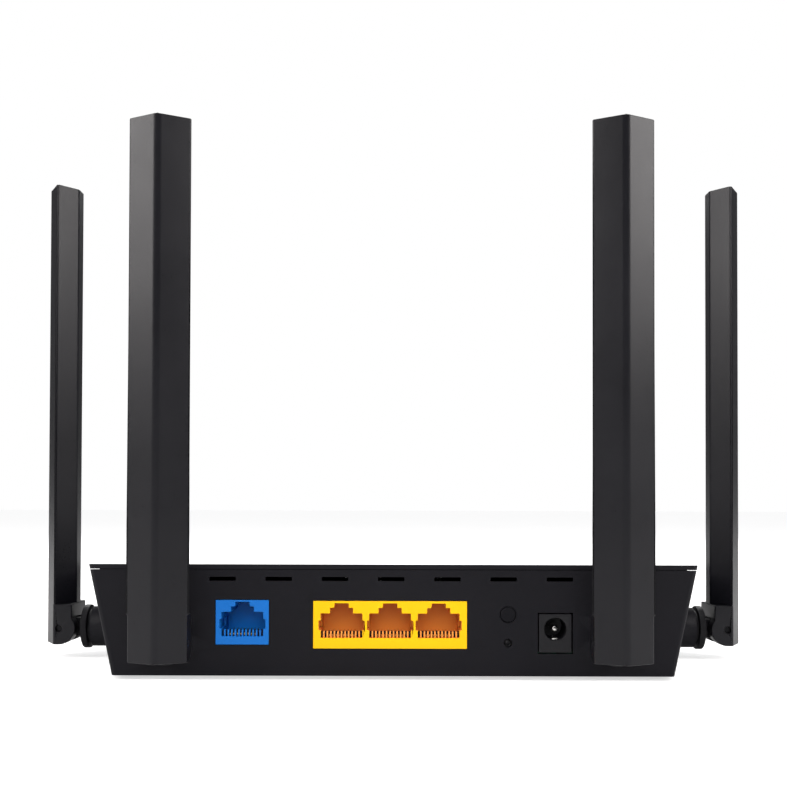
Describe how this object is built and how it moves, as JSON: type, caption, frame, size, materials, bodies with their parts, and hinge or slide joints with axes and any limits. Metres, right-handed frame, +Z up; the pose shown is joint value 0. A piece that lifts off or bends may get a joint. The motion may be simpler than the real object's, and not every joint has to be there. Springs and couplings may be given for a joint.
{
  "type": "wireless router",
  "caption": "Flat wireless router with a tapering matt black case, network sockets and a power inlet on the rear panel, and folding blade aerials at the rear and sides.",
  "frame": {"origin": "middle of the footprint, aerials included, on the surface that the rubber feet stand on", "axes": "+X to the right as the rear panel is faced, -Y out of the rear panel, +Z up"},
  "size_m": [0.231, 0.1451, 0.1579],
  "materials": {
    "case_plastic": "fine-grained matt black moulding",
    "aerial_plastic": "satin black moulding",
    "hinge_plastic": "tough satin black moulding",
    "wan_plastic": "blue socket moulding",
    "lan_plastic": "orange-yellow socket moulding",
    "jack_plastic": "black moulding",
    "button_plastic": "black cap",
    "contact_metal": "gold-plated contact",
    "pin_metal": "nickel-plated pin",
    "screw_steel": "zinc-plated steel",
    "hinge_steel": "steel pin",
    "shield_metal": "tinned steel can",
    "foot_rubber": "black rubber",
    "board_laminate": "green solder mask on glass-epoxy laminate",
    "chip_resin": "black moulded chip",
    "pad_grey": "grey thermal pad",
    "sink_aluminium": "extruded aluminium",
    "capacitor_sleeve": "sleeved aluminium can",
    "lamp_resin": "clear resin lamp",
    "guide_clear": "frosted clear acrylic",
    "lead_sleeve": "black sleeve",
    "radiator_brass": "copper strip",
    "switch_resin": "black switch body",
    "plunger_resin": "pale switch plunger"
  },
  "bodies": {
    "housing": {"bottom_case": "case_plastic", "top_cover": "case_plastic", "rubber_feet": "foot_rubber", "case_screws": "screw_steel", "board_screws": "screw_steel", "main_board": "board_laminate", "processor": "chip_resin", "thermal_pad": "pad_grey", "heat_sink": "sink_aluminium", "radio_shield": "shield_metal", "radio_chip": "chip_resin", "memory_chip": "chip_resin", "line_transformers": "chip_resin", "capacitors": "capacitor_sleeve", "status_lamps": "lamp_resin", "light_guide": "guide_clear", "wan_socket": "wan_plastic", "wan_contacts": "contact_metal", "lan_socket": "lan_plastic", "lan_contacts": "contact_metal", "power_socket": "jack_plastic", "power_pin": "pin_metal", "power_spring": "pin_metal", "wps_switch": "switch_resin", "reset_switch": "switch_resin", "left_rear_lead": "lead_sleeve", "right_rear_lead": "lead_sleeve", "left_side_lead": "lead_sleeve", "right_side_lead": "lead_sleeve", "lead_plugs": "contact_metal"},
    "pairing_button": {"wps_button": "button_plastic", "wps_plunger": "plunger_resin"},
    "reset_button": {"reset_plunger": "plunger_resin"},
    "left_rear_swivel": {"left_rear_knuckle": "hinge_plastic", "left_rear_clip": "hinge_steel"},
    "left_rear_aerial": {"left_rear_blade_shell": "aerial_plastic", "left_rear_blade_back": "aerial_plastic", "left_rear_radiator": "radiator_brass", "left_rear_hinge_pins": "hinge_steel"},
    "right_rear_swivel": {"right_rear_knuckle": "hinge_plastic", "right_rear_clip": "hinge_steel"},
    "right_rear_aerial": {"right_rear_blade_shell": "aerial_plastic", "right_rear_blade_back": "aerial_plastic", "right_rear_radiator": "radiator_brass", "right_rear_hinge_pins": "hinge_steel"},
    "left_side_swivel": {"left_side_knuckle": "hinge_plastic", "left_side_clip": "hinge_steel"},
    "left_side_aerial": {"left_side_blade_shell": "aerial_plastic", "left_side_blade_back": "aerial_plastic", "left_side_radiator": "radiator_brass", "left_side_hinge_pins": "hinge_steel"},
    "right_side_swivel": {"right_side_knuckle": "hinge_plastic", "right_side_clip": "hinge_steel"},
    "right_side_aerial": {"right_side_blade_shell": "aerial_plastic", "right_side_blade_back": "aerial_plastic", "right_side_radiator": "radiator_brass", "right_side_hinge_pins": "hinge_steel"}
  },
  "joints": [
    {"name": "left_rear_swivel", "type": "hinge", "parent": "housing", "child": "left_rear_swivel", "pos_m": [-0.0652, -0.05702, 0.0118], "axis": [0, 1, 0], "range_deg": [-90, 45]},
    {"name": "left_rear_fold", "type": "hinge", "parent": "left_rear_swivel", "child": "left_rear_aerial", "pos_m": [-0.0652, -0.06662, 0.0118], "axis": [1, 0, 0], "range_deg": [0, 90]},
    {"name": "right_rear_swivel", "type": "hinge", "parent": "housing", "child": "right_rear_swivel", "pos_m": [0.0638, -0.05702, 0.0118], "axis": [0, 1, 0], "range_deg": [-45, 90]},
    {"name": "right_rear_fold", "type": "hinge", "parent": "right_rear_swivel", "child": "right_rear_aerial", "pos_m": [0.0638, -0.06662, 0.0118], "axis": [1, 0, 0], "range_deg": [0, 90]},
    {"name": "left_side_swivel", "type": "hinge", "parent": "housing", "child": "left_side_swivel", "pos_m": [-0.1, -0.00332, 0.0098], "axis": [1, 0, 0], "range_deg": [-90, 90]},
    {"name": "left_side_fold", "type": "hinge", "parent": "left_side_swivel", "child": "left_side_aerial", "pos_m": [-0.1096, -0.00332, 0.0098], "axis": [0, -1, 0], "range_deg": [0, 90]},
    {"name": "right_side_swivel", "type": "hinge", "parent": "housing", "child": "right_side_swivel", "pos_m": [0.1, -0.00332, 0.0098], "axis": [-1, 0, 0], "range_deg": [-90, 90]},
    {"name": "right_side_fold", "type": "hinge", "parent": "right_side_swivel", "child": "right_side_aerial", "pos_m": [0.1096, -0.00332, 0.0098], "axis": [0, 1, 0], "range_deg": [0, 90]},
    {"name": "pairing_press", "type": "slide", "parent": "housing", "child": "pairing_button", "axis": [0, 1, 0], "range_m": [0, 0.0005], "stiffness_N_per_m": 1500},
    {"name": "reset_press", "type": "slide", "parent": "housing", "child": "reset_button", "axis": [0, 1, 0], "range_m": [0, 0.0003], "stiffness_N_per_m": 1500}
  ]
}
